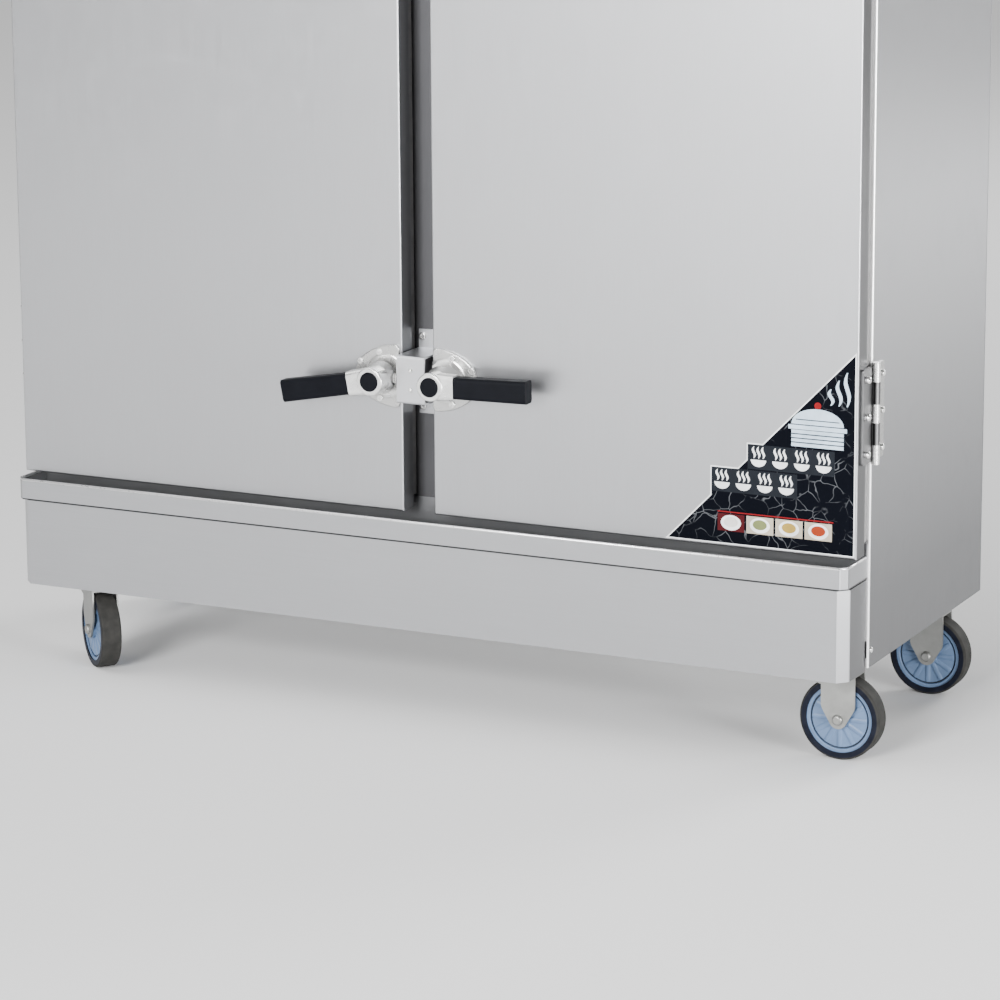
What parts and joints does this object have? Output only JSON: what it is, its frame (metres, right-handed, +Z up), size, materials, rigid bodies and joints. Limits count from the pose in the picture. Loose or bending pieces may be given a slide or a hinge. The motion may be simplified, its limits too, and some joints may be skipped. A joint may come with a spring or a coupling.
{
  "type": "steamer cabinet",
  "caption": "Tall steel steam cabinet on swivel casters, with hinged double doors, lever latches, drip trough, racked chambers and water tanks.",
  "frame": {"origin": "on the floor, under the middle of the whole cabinet", "axes": "+X to the right of someone facing the doors, +Y from the doors to the back, +Z up"},
  "size_m": [1.532, 0.7122, 1.6],
  "materials": {
    "stainless_sheet": "brushed stainless sheet",
    "inner_steel": "mill-finish stainless sheet",
    "frame_steel": "grey primer",
    "foam": "closed-cell insulation",
    "seal_rubber": "light grey silicone",
    "latch_metal": "polished cast metal",
    "latch_plastic": "black, fine grain",
    "fixings": "bright",
    "caster_steel": "zinc plated",
    "wheel_plastic": "moulded, grey blue",
    "tread": "smooth elastic tread",
    "knob_plastic": "black",
    "valve_brass": "nickel-washed brass",
    "float_plastic": "white moulding",
    "element_steel": "heat-tinted tube"
  },
  "bodies": {
    "case": {"left_side_panel": "stainless_sheet", "right_side_panel": "stainless_sheet", "back_panel": "stainless_sheet", "roof_panel": "stainless_sheet", "wall_insulation": "foam", "front_frame": "inner_steel", "mullion": "stainless_sheet", "chamber_liners": "inner_steel", "tray_rails": "inner_steel", "rack_uprights": "inner_steel", "water_tanks": "inner_steel", "heating_elements": "element_steel", "latch_keepers": "latch_metal", "case_fasteners": "fixings", "hinge_case_halves": "caster_steel", "drip_trough": "stainless_sheet", "skirt_panel": "stainless_sheet", "base_frame": "frame_steel", "control_fascia": "stainless_sheet", "steam_vents": "inner_steel", "water_manifold": "inner_steel", "drain_valve": "valve_brass", "feed_tank": "inner_steel", "caster_plates": "caster_steel"},
    "left_door": {"left_door_skin": "stainless_sheet", "left_door_core": "foam", "left_door_inner_panel": "inner_steel", "left_door_seal": "seal_rubber", "left_hinge_door_halves": "caster_steel", "left_latch_bases": "latch_metal"},
    "lower_left_latch": {"lower_left_latch_lever": "latch_metal", "lower_left_lever_grip": "latch_plastic"},
    "upper_left_latch": {"upper_left_latch_lever": "latch_metal", "upper_left_lever_grip": "latch_plastic"},
    "right_door": {"right_door_skin": "stainless_sheet", "right_door_core": "foam", "right_door_inner_panel": "inner_steel", "right_door_seal": "seal_rubber", "right_hinge_door_halves": "caster_steel", "right_latch_bases": "latch_metal"},
    "lower_right_latch": {"lower_right_latch_lever": "latch_metal", "lower_right_lever_grip": "latch_plastic"},
    "upper_right_latch": {"upper_right_latch_lever": "latch_metal", "upper_right_lever_grip": "latch_plastic"},
    "front_right_swivel": {"front_right_caster_fork": "caster_steel"},
    "front_right_wheel": {"front_right_wheel_rim": "wheel_plastic", "front_right_wheel_tyre": "tread"},
    "front_left_swivel": {"front_left_caster_fork": "caster_steel"},
    "front_left_wheel": {"front_left_wheel_rim": "wheel_plastic", "front_left_wheel_tyre": "tread"},
    "rear_right_swivel": {"rear_right_caster_fork": "caster_steel"},
    "rear_right_wheel": {"rear_right_wheel_rim": "wheel_plastic", "rear_right_wheel_tyre": "tread"},
    "rear_left_swivel": {"rear_left_caster_fork": "caster_steel"},
    "rear_left_wheel": {"rear_left_wheel_rim": "wheel_plastic", "rear_left_wheel_tyre": "tread"},
    "drain_handle": {"drain_lever": "caster_steel"},
    "float": {"float_arm": "float_plastic"},
    "left_knob": {"left_control_knob": "knob_plastic"},
    "right_knob": {"right_control_knob": "knob_plastic"}
  },
  "joints": [
    {"name": "right_door_hinge", "type": "hinge", "parent": "case", "child": "right_door", "pos_m": [0.7465, -0.23395, 0.9085], "axis": [0, 0, 1], "range_deg": [0, 160]},
    {"name": "left_door_hinge", "type": "hinge", "parent": "case", "child": "left_door", "pos_m": [-0.7465, -0.23395, 0.9085], "axis": [0, 0, -1], "range_deg": [0, 160]},
    {"name": "lower_left_latch_turn", "type": "hinge", "parent": "left_door", "child": "lower_left_latch", "pos_m": [-0.053, -0.32795, 0.546], "axis": [0, -1, 0], "range_deg": [-10.5, 79.5]},
    {"name": "upper_left_latch_turn", "type": "hinge", "parent": "left_door", "child": "upper_left_latch", "pos_m": [-0.053, -0.32795, 1.271], "axis": [0, -1, 0], "range_deg": [-10.5, 79.5]},
    {"name": "lower_right_latch_turn", "type": "hinge", "parent": "right_door", "child": "lower_right_latch", "pos_m": [0.053, -0.32795, 0.546], "axis": [0, 1, 0], "range_deg": [0, 90]},
    {"name": "upper_right_latch_turn", "type": "hinge", "parent": "right_door", "child": "upper_right_latch", "pos_m": [0.053, -0.32795, 1.271], "axis": [0, 1, 0], "range_deg": [0, 90]},
    {"name": "front_right_swivel_turn", "type": "hinge", "parent": "case", "child": "front_right_swivel", "pos_m": [0.649, -0.23745, 0.1335], "axis": [0, 0, 1], "continuous": true},
    {"name": "front_right_wheel_roll", "type": "hinge", "parent": "front_right_swivel", "child": "front_right_wheel", "pos_m": [0.701, -0.23745, 0.065], "axis": [0, 1, 0], "continuous": true},
    {"name": "front_left_swivel_turn", "type": "hinge", "parent": "case", "child": "front_left_swivel", "pos_m": [-0.649, -0.23745, 0.1335], "axis": [0, 0, 1], "continuous": true},
    {"name": "front_left_wheel_roll", "type": "hinge", "parent": "front_left_swivel", "child": "front_left_wheel", "pos_m": [-0.61036, -0.27225, 0.065], "axis": [0.6691, 0.7431, 0], "continuous": true},
    {"name": "rear_right_swivel_turn", "type": "hinge", "parent": "case", "child": "rear_right_swivel", "pos_m": [0.649, 0.15905, 0.1335], "axis": [0, 0, 1], "continuous": true},
    {"name": "rear_right_wheel_roll", "type": "hinge", "parent": "rear_right_swivel", "child": "rear_right_wheel", "pos_m": [0.701, 0.15905, 0.065], "axis": [0, 1, 0], "continuous": true},
    {"name": "rear_left_swivel_turn", "type": "hinge", "parent": "case", "child": "rear_left_swivel", "pos_m": [-0.649, 0.15905, 0.1335], "axis": [0, 0, 1], "continuous": true},
    {"name": "rear_left_wheel_roll", "type": "hinge", "parent": "rear_left_swivel", "child": "rear_left_wheel", "pos_m": [-0.701, 0.15905, 0.065], "axis": [0, -1, 0], "continuous": true},
    {"name": "drain_lever_turn", "type": "hinge", "parent": "case", "child": "drain_handle", "pos_m": [0, 0.31105, 0.203], "axis": [0, 0, 1], "range_deg": [0, 90]},
    {"name": "float_lift", "type": "hinge", "parent": "case", "child": "float", "pos_m": [0.3565, 0.32105, 0.338], "axis": [0, 1, 0], "range_deg": [0, 15]},
    {"name": "left_knob_turn", "type": "hinge", "parent": "case", "child": "left_knob", "pos_m": [-0.3675, -0.28995, 1.54775], "axis": [0, 1, 0], "range_deg": [0, 270]},
    {"name": "right_knob_turn", "type": "hinge", "parent": "case", "child": "right_knob", "pos_m": [0.3675, -0.28995, 1.54775], "axis": [0, 1, 0], "range_deg": [0, 270]}
  ]
}
